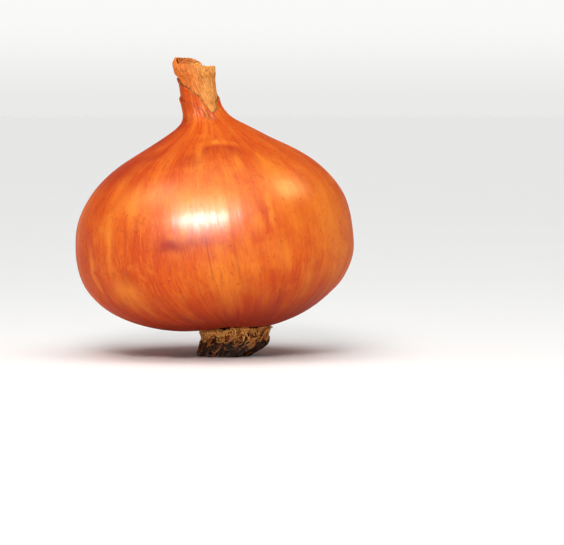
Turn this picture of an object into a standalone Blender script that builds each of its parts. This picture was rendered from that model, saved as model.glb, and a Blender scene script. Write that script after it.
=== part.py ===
"""A whole brown onion, standing on the trimmed tuft of its dried roots.

The bulb grew as one piece with its papery skin and its dry neck: that is the node bulb. The mat of
dried roots under the root plate is the node root_tuft. The onion leans a little towards -X, and
the tuft is trimmed flat under its middle, so that it stands. The origin is the middle of that flat
spot, +Z is up, and the torn side of the neck's skin faces -Y. Sizes are in metres.
"""

import math
import random

import bmesh
import bpy

# The whole onion
LEAN = math.radians(7.0)  # towards -X, from the root plate to the neck
FOOT_SIDE = 0.0018  # where the leaning axis meets the resting plane, to +X of the flat spot
GAP = 0.0003  # between the root plate and the tuft

# The bulb, with heights along the leaning axis
BULB_WIDTH = 0.0802
BULB_HEIGHT = 0.0578  # root plate to the foot of the neck
PLATE_HEIGHT = 0.0087  # root plate above the resting plane
PLATE_SHIFT = 0.0028  # the plate grew a little to +X of the axis
NECK_WIDTH = 0.0112
NECK_HEIGHT = 0.0202
NECK_SHIFT = 0.0021  # the neck's foot swells towards +X
RIM_ROUND = 0.0006  # rounding of the neck's cut end
RIM_WALL = 0.0013  # dried sheaths around the hollow in the cut end
RIM_DEPTH = 0.0016
STEP_DROP = 0.0010  # the sheath on the +X side broke off lower
SLANT_DROP = 0.0015
SKIN_STEP = 0.0003  # thickness of the outer skin's torn edge on the neck
LIP_FLARE = 0.0007  # the rim curls out on the -X side
LOBES = ((2, 0.004, 0.0), (3, 0.005, 3.2), (7, 0.0025, 1.6))  # count around, share of radius, phase
NECK_FOLDS = ((3, 0.030, 0.4), (8, 0.018, 0.0))
NECK_TWIST = 0.6  # radians that the folds turn over the neck's height
BULB_STEPS = 64  # faces around the bulb

# The root tuft, with heights above the resting plane
TUFT_WIDTH = 0.0184
REST_WIDTH = 0.0130
TUFT_SHIFT = 0.0040  # how far the top of the tuft lies to +X of the flat spot
TUFT_FULL = 0.0080  # height where the tuft has its full width
STRAND_WIDTH = 0.0014
STRANDS = 26
STRAND_BENDS = 4
STRAND_SUNK = (0.05, 0.30)  # how far a root's middle lies inside the mat's side, of its width
STRAND_WANDER = 0.2  # how far a root winds to either side, of its lane
TUFT_STEPS = 40  # faces around the mat
TUFT_RINGS = 12

# The bulb's outline, as shares of BULB_HEIGHT above the plate and of half of BULB_WIDTH
OUTLINE = (
    (1.000, 0.247),  # foot of the neck
    (0.924, 0.437),
    (0.849, 0.633),  # shoulder
    (0.775, 0.775),
    (0.699, 0.873),
    (0.625, 0.940),
    (0.550, 0.980),
    (0.438, 1.000),  # belly
    (0.325, 0.983),
    (0.249, 0.935),
    (0.175, 0.853),
    (0.128, 0.775),  # underside
    (0.088, 0.680),
    (0.056, 0.570),
    (0.030, 0.445),
    (0.013, 0.330),
    (0.003, 0.220),  # edge of the root plate
    (0.000, 0.110),
)

# The neck's outline, as shares of NECK_HEIGHT above its foot and of half of NECK_WIDTH
NECK_OUTLINE = ((0.925, 1.045), (0.80, 1.01), (0.64, 0.98), (0.43, 1.00), (0.24, 1.07), (0.11, 1.30))


def clear_scene():
    for old in list(bpy.data.objects):
        bpy.data.objects.remove(old, do_unlink=True)


def smooth(share):
    share = min(max(share, 0.0), 1.0)
    return share * share * (3.0 - 2.0 * share)


def spline(points, pieces):
    """Points on a smooth curve through the given ones, with this many pieces between each two."""
    out = []
    last = len(points) - 1
    for i in range(last):
        before, a, b, after = points[max(i - 1, 0)], points[i], points[i + 1], points[min(i + 2, last)]
        for k in range(pieces):
            t = k / pieces
            out.append(tuple(
                0.5 * (2 * q + (r - p) * t + (2 * p - 5 * q + 4 * r - s) * t**2
                       + (3 * q - p - 3 * r + s) * t**3)
                for p, q, r, s in zip(before, a, b, after)
            ))
    out.append(points[last])
    return out


def bulb_outline():
    """(radius, height) from the neck's rim down the outside to the root plate."""
    neck_foot = PLATE_HEIGHT + BULB_HEIGHT
    stations = [(r * NECK_WIDTH / 2, neck_foot + h * NECK_HEIGHT) for h, r in NECK_OUTLINE]
    stations += [(r * BULB_WIDTH / 2, PLATE_HEIGHT + h * BULB_HEIGHT) for h, r in OUTLINE]
    return spline(stations, 2)


def neck_end():
    """(radius, height) from the middle of the neck's hollow end out over its rounded rim."""
    top = PLATE_HEIGHT + BULB_HEIGHT + NECK_HEIGHT
    outer = NECK_WIDTH / 2 * NECK_OUTLINE[0][1]
    inner = outer - RIM_WALL
    return [
        (0.0, top - RIM_DEPTH * 0.8),
        (inner * 0.35, top - RIM_DEPTH),
        (inner * 0.75, top - RIM_DEPTH * 0.9),
        (inner, top - RIM_DEPTH * 0.4),
        (inner + 0.2 * RIM_WALL, top - 0.1 * RIM_ROUND),
        (outer - RIM_ROUND, top),
        (outer - 0.3 * RIM_ROUND, top - 0.3 * RIM_ROUND),
        (outer, top - RIM_ROUND),
    ]


def turned(name, outline, steps, collection):
    """A solid turned from an outline at +X that runs down its outer side."""
    mesh = bpy.data.meshes.new(name)
    mesh.from_pydata(
        [(r, 0.0, z) for r, z in outline], [(i, i + 1) for i in range(len(outline) - 1)], []
    )
    guide = bpy.data.objects.new(name + "_outline", mesh)
    bpy.context.scene.collection.objects.link(guide)
    screw = guide.modifiers.new("turn", "SCREW")
    screw.axis = "Z"
    screw.angle = math.tau
    screw.steps = screw.render_steps = steps
    screw.use_merge_vertices = True
    screw.merge_threshold = 0.00001
    return frozen(guide, name, collection)


def frozen(guide, name, collection):
    """The guide's evaluated mesh as an object of its own, with its seams welded."""
    bpy.context.view_layer.update()
    graph = bpy.context.evaluated_depsgraph_get()
    mesh = bpy.data.meshes.new_from_object(guide.evaluated_get(graph))
    obj = bpy.data.objects.new(name, mesh)
    obj.matrix_world = guide.matrix_world.copy()
    bpy.data.objects.remove(guide, do_unlink=True)
    collection.objects.link(obj)
    shape = bmesh.new()
    shape.from_mesh(mesh)
    bmesh.ops.remove_doubles(shape, verts=shape.verts, dist=0.00001)
    bmesh.ops.recalc_face_normals(shape, faces=shape.faces)
    shape.to_mesh(mesh)
    shape.free()
    return obj


def torn_edge(angle):
    """How far up the neck the outer skin reaches: least at +X, most at -X."""
    return 0.40 - 0.36 * math.cos(angle + 0.15) - 0.16 * math.sin(angle)


def neck_cut(side):
    """How much lower than its top the neck's end is, this far to +X of the neck's middle."""
    half = NECK_WIDTH / 2
    slant = SLANT_DROP * smooth((side + 0.3 * half) / (0.85 * half))
    broken = STEP_DROP * smooth((side - 0.52 * half) / (0.08 * half))
    return slant + broken + side * math.tan(LEAN)


def waves(angle, terms):
    return sum(share * math.sin(count * angle + phase) for count, share, phase in terms)


def neck_radius(radius, angle, up_neck):
    """The folded neck's radius, with its inner sheath bare above the outer skin's torn edge."""
    radius *= 1.0 + smooth((up_neck + 0.2) / 0.5) * waves(angle + NECK_TWIST * up_neck, NECK_FOLDS)
    outside = smooth((2 * radius / NECK_WIDTH - 0.8) / 0.1)
    bare = smooth((up_neck - torn_edge(angle)) / 0.03)
    near_rim = smooth((up_neck - 0.75) / 0.2)
    return radius - SKIN_STEP * bare * outside * (1.0 - 0.6 * near_rim)


def grown(x, y, height):
    """Moves a point of the turned bulb to where the grown one has it, still upright."""
    radius, angle = math.hypot(x, y), math.atan2(y, x)
    up_bulb = (height - PLATE_HEIGHT) / BULB_HEIGHT
    up_neck = (height - PLATE_HEIGHT - BULB_HEIGHT) / NECK_HEIGHT
    belly = smooth(up_bulb / 0.25) * smooth((1.05 - up_bulb) / 0.3)
    radius *= 1.0 + belly * waves(angle, LOBES)
    if up_neck > -0.2:
        radius = neck_radius(radius, angle, up_neck)
    x, y = radius * math.cos(angle), radius * math.sin(angle)
    if up_neck > 0.0:
        x -= LIP_FLARE * smooth((up_neck - 0.70) / 0.25) * smooth((-x / NECK_WIDTH - 0.1) / 0.4)
        height -= neck_cut(x) * smooth((up_neck - 0.72) / 0.22)
    x += NECK_SHIFT * math.exp(-(((up_bulb - 1.0) / 0.095) ** 2))
    x += PLATE_SHIFT * (1.0 - smooth(up_bulb / 0.45))
    return x, y, height


def leaned(x, y, height):
    """From the upright bulb's frame to the leaning one's, over the resting plane."""
    return (
        FOOT_SIDE + x * math.cos(LEAN) - height * math.sin(LEAN),
        y,
        x * math.sin(LEAN) + height * math.cos(LEAN),
    )


def shape_bulb(obj):
    for vertex in obj.data.vertices:
        vertex.co = leaned(*grown(*vertex.co))
    obj.data.update()


def make_bulb(parts):
    bulb = turned("bulb", neck_end() + bulb_outline() + [(0.0, PLATE_HEIGHT)], BULB_STEPS, parts)
    shape_bulb(bulb)
    return bulb


def make_clearance(helpers):
    """The bulb's underside moved out by the gap, as a solid that trims the tuft under it."""
    low = [(r, h) for r, h in bulb_outline() if h < PLATE_HEIGHT + 0.35 * BULB_HEIGHT]
    moved = []
    for i, (r, h) in enumerate(low):
        (ra, ha), (rb, hb) = low[max(i - 1, 0)], low[min(i + 1, len(low) - 1)]
        along = math.hypot(rb - ra, hb - ha)
        moved.append((r - (hb - ha) / along * GAP, h + (rb - ra) / along * GAP))
    outline = [(0.0, low[0][1])] + moved + [(0.0, PLATE_HEIGHT - GAP)]
    cutter = turned("underside_clearance", outline, BULB_STEPS, helpers)
    shape_bulb(cutter)
    return cutter


def tuft_middle(height):
    return TUFT_SHIFT * smooth(height / TUFT_FULL)


def tuft_radius(height):
    share = min(max(height / TUFT_FULL, 0.0), 1.0)
    return (REST_WIDTH + (TUFT_WIDTH - REST_WIDTH) * share**0.8) / 2


def make_mat(parts):
    """The matted roots, as a cushion that reaches up past the root plate and below the floor."""
    low, high = -0.3 * PLATE_HEIGHT, 1.4 * PLATE_HEIGHT
    heights = [high + (low - high) * i / TUFT_RINGS for i in range(TUFT_RINGS + 1)]
    outline = [(0.0, high)] + [(tuft_radius(h), h) for h in heights] + [(0.0, low)]
    mat = turned("root_tuft", outline, TUFT_STEPS, parts)
    for vertex in mat.data.vertices:
        vertex.co.x += tuft_middle(vertex.co.z)
    mat.data.update()
    return mat


def on_mat(angle, height, out):
    """A point this far outside the mat's side."""
    reach = tuft_radius(height) + out
    return (tuft_middle(height) + reach * math.cos(angle), reach * math.sin(angle), height)


def strand_path(rng, index):
    """One root that winds down the mat's side, half sunk in it, in a lane of its own."""
    lane = math.tau / STRANDS
    angle = lane * (index + rng.uniform(-0.12, 0.12))
    top = TUFT_FULL * rng.uniform(0.95, 1.15)
    points = [on_mat(angle, top, -1.2 * STRAND_WIDTH)]
    for step in range(STRAND_BENDS):
        height = top * (1.0 - (step + 0.5) / STRAND_BENDS)
        wander = lane * rng.uniform(-STRAND_WANDER, STRAND_WANDER)
        points.append(on_mat(angle + wander, height, -STRAND_WIDTH * rng.uniform(*STRAND_SUNK)))
    points.append(on_mat(angle, -1.2 * STRAND_WIDTH, -STRAND_WIDTH))
    return spline(points, 2)


def make_strand(path, index, helpers):
    curve = bpy.data.curves.new("strand", "CURVE")
    curve.dimensions = "3D"
    curve.bevel_depth = STRAND_WIDTH / 2
    curve.bevel_resolution = 1
    curve.use_fill_caps = True
    line = curve.splines.new("POLY")
    line.points.add(len(path) - 1)
    for i, point in enumerate(path):
        line.points[i].co = (*point, 1.0)
        line.points[i].radius = 1.0 - 0.2 * abs(2.0 * i / (len(path) - 1) - 1.0)
    guide = bpy.data.objects.new("strand_guide", curve)
    bpy.context.scene.collection.objects.link(guide)
    return frozen(guide, f"strand_{index:02d}", helpers)


def make_floor(helpers):
    """A block under the resting plane, which trims the roots flat."""
    width, depth = 4 * TUFT_WIDTH, 0.01
    shape = bmesh.new()
    bmesh.ops.create_cube(shape, size=1.0)
    bmesh.ops.scale(shape, vec=(width, width, depth), verts=shape.verts)
    bmesh.ops.translate(shape, vec=(0.0, 0.0, -depth / 2), verts=shape.verts)
    mesh = bpy.data.meshes.new("resting_plane")
    shape.to_mesh(mesh)
    shape.free()
    floor = bpy.data.objects.new("resting_plane", mesh)
    helpers.objects.link(floor)
    return floor


def cut(obj, name, cutter):
    """Takes the cutter from the tuft. The EXACT solver fails on its many half-sunk roots."""
    trim = obj.modifiers.new(name, "BOOLEAN")
    trim.operation = "DIFFERENCE"
    trim.solver = "MANIFOLD"
    trim.object = cutter


def make_tuft(parts, helpers, strands):
    mat = make_mat(parts)
    rng = random.Random(11)
    for index in range(STRANDS):
        make_strand(strand_path(rng, index), index, strands)
    join = mat.modifiers.new("strands", "BOOLEAN")
    join.operation = "UNION"
    join.solver = "MANIFOLD"
    join.operand_type = "COLLECTION"
    join.collection = strands
    cut(mat, "trimmed_flat", make_floor(helpers))
    cut(mat, "underside", make_clearance(helpers))
    return mat


def material(name, colour, roughness):
    made = bpy.data.materials.new(name)
    made.use_nodes = True
    shader = made.node_tree.nodes["Principled BSDF"]
    shader.inputs["Base Color"].default_value = (*colour, 1.0)
    shader.inputs["Roughness"].default_value = roughness
    shader.inputs["Metallic"].default_value = 0.0
    return made


def finish(obj, made):
    obj.data.materials.clear()
    obj.data.materials.append(made)
    for face in obj.data.polygons:
        face.use_smooth = True


def helper_collection(name):
    collection = bpy.data.collections.new(name)
    collection.hide_render = True
    bpy.context.scene.collection.children.link(collection)
    return collection


def hide_helpers(collection):
    for obj in collection.objects:
        obj.hide_render = True
        obj.display_type = "WIRE"


def main():
    clear_scene()
    parts = bpy.data.collections.new("onion")
    bpy.context.scene.collection.children.link(parts)
    cutters, strands = helper_collection("cutters"), helper_collection("strands")
    bulb = make_bulb(parts)
    tuft = make_tuft(parts, cutters, strands)
    finish(bulb, material("papery_skin", (0.72, 0.22, 0.045), 0.38))
    finish(tuft, material("dried_roots", (0.16, 0.085, 0.035), 0.85))
    for helpers in (cutters, strands):
        hide_helpers(helpers)


main()
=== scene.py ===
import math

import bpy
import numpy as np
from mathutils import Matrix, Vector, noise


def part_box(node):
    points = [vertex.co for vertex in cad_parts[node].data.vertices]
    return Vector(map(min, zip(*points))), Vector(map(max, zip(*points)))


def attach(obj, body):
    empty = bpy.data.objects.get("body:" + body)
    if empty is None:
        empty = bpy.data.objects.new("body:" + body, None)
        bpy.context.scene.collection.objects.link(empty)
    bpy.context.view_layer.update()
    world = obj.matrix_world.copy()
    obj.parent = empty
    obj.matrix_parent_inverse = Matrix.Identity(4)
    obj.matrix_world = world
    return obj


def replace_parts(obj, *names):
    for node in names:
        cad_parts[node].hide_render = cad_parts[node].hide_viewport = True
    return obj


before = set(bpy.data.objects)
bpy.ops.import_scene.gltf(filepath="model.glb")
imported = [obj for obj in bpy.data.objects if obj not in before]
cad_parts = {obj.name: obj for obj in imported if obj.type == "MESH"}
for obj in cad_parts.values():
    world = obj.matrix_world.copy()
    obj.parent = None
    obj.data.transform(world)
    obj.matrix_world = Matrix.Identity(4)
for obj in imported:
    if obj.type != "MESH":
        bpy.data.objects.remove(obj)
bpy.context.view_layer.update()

# The looks of a whole brown onion: papery skin, a torn dry neck and a curly root tuft.
#
# Everything is in the frame's metres. Tables give angles in degrees from the front (-Y), growing towards
# +X; the mesh code's angles are in radians from +X, growing towards +Y. Heights run along the leaning
# axis, from the resting plane. A height called up is a share of the bulb's height, from the root plate.
# Called up_neck, and in the inner sheath's shape, it is a share of the neck's height, from its foot.

MM = 0.001
bulb_low, bulb_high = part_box("bulb")

# The bulb, as the CAD has it
LEAN = math.radians(7.0)
FOOT_SIDE = 1.8 * MM
BULB_WIDTH = bulb_high.y - bulb_low.y
PLATE_HEIGHT = 8.7 * MM
NECK_FOOT = 66.5 * MM
NECK_TOP = 86.7 * MM
NECK_WIDTH = 11.2 * MM
BULB_HEIGHT = NECK_FOOT - PLATE_HEIGHT
NECK_HEIGHT = NECK_TOP - NECK_FOOT
PLATE_SHIFT = 2.8 * MM
NECK_SHIFT = 2.1 * MM
SLANT_DROP = 1.5 * MM
STEP_DROP = 1.0 * MM
LOBES = ((2, 0.004, 0.0), (3, 0.005, 3.2), (7, 0.0025, 1.6))  # count around, share of radius, phase
NECK_FOLDS = ((3, 0.030, 0.4), (8, 0.018, 0.0))
NECK_TWIST = 0.6
OUTLINE = (  # shares of BULB_HEIGHT and of half of BULB_WIDTH, from the plate up
    (0.000, 0.110), (0.003, 0.220), (0.013, 0.330), (0.030, 0.445), (0.056, 0.570), (0.088, 0.680),
    (0.128, 0.775), (0.175, 0.853), (0.249, 0.935), (0.325, 0.983), (0.438, 1.000), (0.550, 0.980),
    (0.625, 0.940), (0.699, 0.873), (0.775, 0.775), (0.849, 0.633), (0.924, 0.437), (1.000, 0.247),
)
NECK_OUTLINE = (  # shares of NECK_HEIGHT and of half of NECK_WIDTH, from the neck's foot up
    (0.11, 1.24), (0.24, 1.03), (0.43, 0.99), (0.64, 0.98), (0.80, 1.01), (0.925, 1.045), (1.0, 1.05),
)

# The root tuft, as the CAD has it
TUFT_WIDTH = 18.4 * MM
REST_WIDTH = 13.0 * MM
TUFT_SHIFT = 4.0 * MM
TUFT_FULL = 8.0 * MM  # the height where the tuft is widest

# Where the looks leave the CAD's shape a little
NECK_STRAIGHTENS = 0.6 * MM  # how much nearer +X the neck's top is
BASE_SAGS = 1.6 * MM  # how much lower the underside's +X side hangs
LOW_SIDE_SWELLS = 1.5 * MM  # how much fuller the bulb's low -X side is
TUFT_BULGES = 3.2 * MM  # how far the roots stand out at the tuft's low +X side

# Torn edges on the neck: (degrees from the front, mm above the neck's foot)
OUTER_EDGE = (
    (-180, 10.5), (-125, 10.0), (-72, 8.2), (-27, 7.0), (5, 4.6),
    (30, 3.4), (50, 4.6), (62, 6.2), (90, 7.9), (130, 9.0),
)
SECOND_EDGE = (
    (-180, 13.0), (-120, 15.0), (-72, 13.9), (-22, 10.9), (0, 9.0),
    (20, 5.5), (30, 2.0), (80, 2.0), (120, 11.0),
)
OUTER_TEAR = (OUTER_EDGE, 0.55 * MM, 11.0)  # with how ragged it is, and the noise's seed
SECOND_TEAR = (SECOND_EDGE, 0.70 * MM, 23.0)
OUTER_CURLS = ((-180, 1.0), (20, 1.0), (45, 0.15), (120, 0.15), (160, 1.0))  # how much the edge lifts off
SKIN_THICK = 0.22 * MM
HOLLOW_DEPTH = 3.2 * MM  # of the neck's open end
NECK_FIBRE_TURN = 1.1  # radians that the sheath's fibres turn over the neck's height

# The raised line that arches over the front shoulder, painted pale as a highlight, with painted shade under
# it: (degrees from the front, share of the bulb's height)
ARCH = (
    (-30, 0.86), (-10, 0.905), (0, 0.92), (12, 0.917), (25, 0.908), (32, 0.895), (36, 0.86), (38, 0.80),
    (39, 0.70),
)

# How many roots of each kind
CURLS = 330
PLATE_ENDS = 210
BORDER_ENDS = 150
TRIMMED_ENDS = 170


# ---------------------------------------------------------------- shape helpers
def smooth(share):
    """0 up to 0, 1 from 1 on, and an S-curve between."""
    share = np.clip(share, 0.0, 1.0)
    return share * share * (3.0 - 2.0 * share)


def waves(angle, terms):
    """A sum of sines around the onion, from (count around, height, phase)."""
    return sum(share * np.sin(count * angle + phase) for count, share, phase in terms)


def noise_at(points, octaves):
    """Smooth noise, about -1 to 1, at each point."""
    return np.array([noise.fractal(p, 1.0, 2.0, octaves) for p in points])


def around(angle, scale, up, stretch, octaves, seed):
    """Noise that runs along the meridians: scale sets how fine it is around, stretch how fine along."""
    shape = np.broadcast(angle, up).shape
    points = np.empty(shape + (3,))
    points[..., 0] = np.cos(angle) * scale + seed
    points[..., 1] = np.sin(angle) * scale - seed
    points[..., 2] = up * stretch + 3.7 * seed
    return noise_at(points.reshape(-1, 3), octaves).reshape(shape)


def by_angle(angle, points):
    """The points' values by degrees from the front, joined around, for angles in radians."""
    front = np.degrees(angle) + 90.0
    return np.interp(front, [p[0] for p in points], [p[1] for p in points], period=360.0)


def catmull(points, pieces):
    """A smooth curve through the points, with this many pieces between each two."""
    points = np.array(points)
    ends = np.vstack([points[:1], points, points[-1:]])
    t = np.linspace(0.0, 1.0, pieces, endpoint=False)[:, None]
    out = []
    for p, q, r, s in zip(ends, ends[1:], ends[2:], ends[3:]):
        out.append(0.5 * (2 * q + (r - p) * t + (2 * p - 5 * q + 4 * r - s) * t**2
                          + (3 * q - p - 3 * r + s) * t**3))
    return np.vstack(out + [points[-1:]])


class Outline:
    """The bulb's and neck's outer outline by the length along it, from the middle of the root plate up."""

    STEP = 0.1 * MM
    SOFTEN = 12  # steps that the listed points are smoothed over

    def __init__(self):
        half = BULB_WIDTH / 2
        stations = [(0.0, PLATE_HEIGHT)]
        stations += [(r * half, PLATE_HEIGHT + h * BULB_HEIGHT) for h, r in OUTLINE]
        stations += [(r * NECK_WIDTH / 2, NECK_FOOT + h * NECK_HEIGHT) for h, r in NECK_OUTLINE]
        dense = catmull(stations, 40)
        along = np.append(0.0, np.cumsum(np.hypot(*np.diff(dense, axis=0).T)))
        self.s = np.arange(0.0, along[-1], self.STEP)
        even = np.column_stack([np.interp(self.s, along, dense[:, k]) for k in (0, 1)])
        reach = 3 * self.SOFTEN
        kernel = np.exp(-0.5 * (np.arange(-reach, reach + 1) / self.SOFTEN) ** 2)
        kernel /= kernel.sum()
        padded = [np.pad(c, reach, mode="reflect", reflect_type="odd") for c in even.T]
        self.r, self.h = (np.convolve(c, kernel, mode="valid") for c in padded)
        self.r = np.maximum(self.r, 0.0)
        slope_r, slope_h = np.gradient(self.r), np.gradient(self.h)
        length = np.hypot(slope_r, slope_h)
        self.nr, self.nh = slope_h / length, -slope_r / length
        self.belly = int(np.argmax(self.r))

    def at(self, s):
        """Radius, height, and the outward direction's radius and height, at a length."""
        return tuple(np.interp(s, self.s, c) for c in (self.r, self.h, self.nr, self.nh))

    def length_at(self, height):
        """The length where the outline above the belly reaches this height."""
        return np.interp(height, self.h[self.belly:], self.s[self.belly:])


outline = Outline()


def low_side_swell(side):
    """How much fuller the bulb's -X side is, at a place this far to +X."""
    return LOW_SIDE_SWELLS * smooth((6 * MM - side) / (24 * MM))


def grown(radius, angle, height):
    """World points of the leaning onion, for points of the straight, evenly turned one."""
    up_bulb = (height - PLATE_HEIGHT) / BULB_HEIGHT
    up_neck = (height - NECK_FOOT) / NECK_HEIGHT
    belly = smooth(up_bulb / 0.25) * smooth((1.05 - up_bulb) / 0.3)
    folds = smooth((up_neck + 0.2) / 0.5) * waves(angle + NECK_TWIST * up_neck, NECK_FOLDS)
    radius = radius * (1.0 + belly * waves(angle, LOBES) + folds)
    x, y = radius * np.cos(angle), radius * np.sin(angle)
    x = x + NECK_SHIFT * np.exp(-(((up_bulb - 1.0) / 0.095) ** 2))
    x = x + PLATE_SHIFT * (1.0 - smooth(up_bulb / 0.45))
    x = x + NECK_STRAIGHTENS * smooth((up_neck + 0.05) / 0.6)
    side = FOOT_SIDE + x * math.cos(LEAN) - height * math.sin(LEAN)
    sag = BASE_SAGS * smooth(side / (14 * MM)) * smooth(1.0 - up_bulb / 0.12)
    swell = low_side_swell(side) * smooth((0.52 - up_bulb) / 0.36)
    sag = sag + 0.85 * swell
    side = side - 0.6 * swell * smooth(up_bulb / 0.2)
    return np.stack([side, y, x * math.sin(LEAN) + height * math.cos(LEAN) - sag], axis=-1)


def grid_faces(rings, columns, first=0):
    """Quads of a grid that closes around, with the rings running from top to bottom."""
    i, j = np.meshgrid(np.arange(rings - 1), np.arange(columns), indexing="ij")
    right = (j + 1) % columns
    quads = np.stack([i * columns + j, (i + 1) * columns + j,
                      (i + 1) * columns + right, i * columns + right], axis=-1)
    return (quads.reshape(-1, 4) + first).tolist()


def fan_faces(ring_start, columns, pole):
    """Triangles from the ring that starts at this point down to a pole."""
    return [(ring_start + j, pole, ring_start + (j + 1) % columns) for j in range(columns)]


def make_piece(name, points, faces, material, slot, **attributes):
    """One mesh object on the root body. The attributes are values by point, for its material."""
    mesh = bpy.data.meshes.new(name)
    mesh.from_pydata([tuple(p) for p in points.reshape(-1, 3)], [], faces)
    mesh.validate()
    for key, values in attributes.items():
        values = np.asarray(values, np.float32)
        if values.shape[-1] == 3 and values.ndim > 1:
            mesh.attributes.new(key, "FLOAT_VECTOR", "POINT").data.foreach_set("vector", values.ravel())
        else:
            mesh.attributes.new(key, "FLOAT", "POINT").data.foreach_set("value", values.ravel())
    mesh.shade_smooth()
    mesh.materials.append(material)
    piece = bpy.data.objects.new(name, mesh)
    bpy.context.scene.collection.objects.link(piece)
    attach(piece, "root")
    return piece


def grain_of(angle, height):
    """Where a point lies on the onion, for the materials: (cos, sin, share of the bulb's height)."""
    up = (height - PLATE_HEIGHT) / BULB_HEIGHT
    angle = np.broadcast_to(angle, np.shape(height))
    return np.stack([np.cos(angle), np.sin(angle), up], axis=-1)


# ---------------------------------------------------------------- material helpers
class Graph:
    """A few short ways to build a Principled material's nodes."""

    def __init__(self, name, roughness, coat=0.0, coat_roughness=0.2, specular=0.5):
        self.material = bpy.data.materials.new(name)
        self.material.use_nodes = True
        self.nodes = self.material.node_tree.nodes
        self.links = self.material.node_tree.links
        self.shader = self.nodes["Principled BSDF"]
        self.shader.inputs["Roughness"].default_value = roughness
        self.shader.inputs["Coat Weight"].default_value = coat
        self.shader.inputs["Coat Roughness"].default_value = coat_roughness
        self.shader.inputs["Specular IOR Level"].default_value = specular

    def put(self, node, socket, value):
        """Set a socket to a value or link it to another node's output. None leaves it as it is."""
        if value is None:
            return
        if isinstance(value, bpy.types.NodeSocket):
            self.links.new(value, node.inputs[socket])
        else:
            node.inputs[socket].default_value = value

    def attribute(self, name, output="Vector"):
        node = self.nodes.new("ShaderNodeAttribute")
        node.attribute_name = name
        return node.outputs[output]

    def place(self):
        return self.nodes.new("ShaderNodeTexCoord").outputs["Object"]

    def scaled(self, vector, scale):
        node = self.nodes.new("ShaderNodeVectorMath")
        node.operation = "MULTIPLY"
        self.put(node, 0, vector)
        self.put(node, 1, scale)
        return node.outputs[0]

    def noise(self, vector, scale=1.0, detail=3.0, roughness=0.55, distortion=0.0):
        node = self.nodes.new("ShaderNodeTexNoise")
        for socket, value in (("Vector", vector), ("Scale", scale), ("Detail", detail),
                              ("Roughness", roughness), ("Distortion", distortion)):
            self.put(node, socket, value)
        return node.outputs["Fac"]

    def math(self, operation, a, b=None):
        node = self.nodes.new("ShaderNodeMath")
        node.operation = operation
        self.put(node, 0, a)
        self.put(node, 1, b)
        return node.outputs[0]

    def ranged(self, value, low, high, to_low, to_high):
        """Map low..high to to_low..to_high, with soft ends. Low may be the greater."""
        node = self.nodes.new("ShaderNodeMapRange")
        node.interpolation_type = "SMOOTHSTEP"
        for socket, number in zip((0, 1, 2, 3, 4), (value, low, high, to_low, to_high)):
            self.put(node, socket, number)
        return node.outputs[0]

    def mix(self, share, a, b):
        """Colour a at share 0, colour b at share 1."""
        node = self.nodes.new("ShaderNodeMix")
        node.data_type = "RGBA"
        self.put(node, 0, share)
        self.put(node, 6, (*a, 1.0) if isinstance(a, tuple) else a)
        self.put(node, 7, (*b, 1.0) if isinstance(b, tuple) else b)
        return node.outputs[2]

    def tint(self, colour, new, value, start, end, share):
        """Mix in a new colour: none where value is at start, growing to this share where it is at end."""
        return self.mix(self.ranged(value, start, end, 0.0, share), colour, new)

    def ramp(self, value, stops):
        node = self.nodes.new("ShaderNodeValToRGB")
        self.put(node, 0, value)
        elements = node.color_ramp.elements
        while len(elements) < len(stops):
            elements.new(0.5)
        for element, (position, colour) in zip(elements, stops):
            element.position = position
            element.color = (*colour, 1.0)
        return node.outputs[0]

    def patch(self, grain, degrees, up, wide, tall, core):
        """An oval on the onion: 1 over this share of it from its middle, falling to 0 at its edge.

        It is wide in degrees and tall as a share of the bulb's height."""
        turn = math.radians(degrees - 90.0)
        away = self.nodes.new("ShaderNodeVectorMath")
        away.operation = "SUBTRACT"
        self.put(away, 0, grain)
        self.put(away, 1, (math.cos(turn), math.sin(turn), up))
        reach = math.radians(wide) / 2
        shaped = self.scaled(away.outputs[0], (1 / reach, 1 / reach, 2 / tall))
        length = self.nodes.new("ShaderNodeVectorMath")
        length.operation = "LENGTH"
        self.put(length, 0, shaped)
        return self.ranged(length.outputs["Value"], core, 1.0, 1.0, 0.0)

    def warped(self, vector, amount):
        """The vector pushed about by noise, so that what it places gets an uneven outline."""
        node = self.nodes.new("ShaderNodeTexNoise")
        for socket, value in (("Vector", vector), ("Scale", 11.0), ("Detail", 3.0)):
            self.put(node, socket, value)
        push = self.nodes.new("ShaderNodeVectorMath")
        push.operation = "MULTIPLY_ADD"
        self.put(push, 0, node.outputs["Color"])
        self.put(push, 1, (amount, amount, amount))
        self.put(push, 2, vector)
        back = self.nodes.new("ShaderNodeVectorMath")
        back.operation = "SUBTRACT"
        self.put(back, 0, push.outputs[0])
        self.put(back, 1, (amount / 2, amount / 2, amount / 2))
        return back.outputs[0]

    def bump(self, height, distance, strength, under=None):
        node = self.nodes.new("ShaderNodeBump")
        for socket, value in (("Height", height), ("Distance", distance), ("Strength", strength),
                              ("Normal", under)):
            self.put(node, socket, value)
        return node.outputs[0]

    def finish(self, colour, roughness=None, normal=None):
        self.put(self.shader, "Base Color", colour)
        self.put(self.shader, "Roughness", roughness)
        self.put(self.shader, "Normal", normal)
        return self.material


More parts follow.
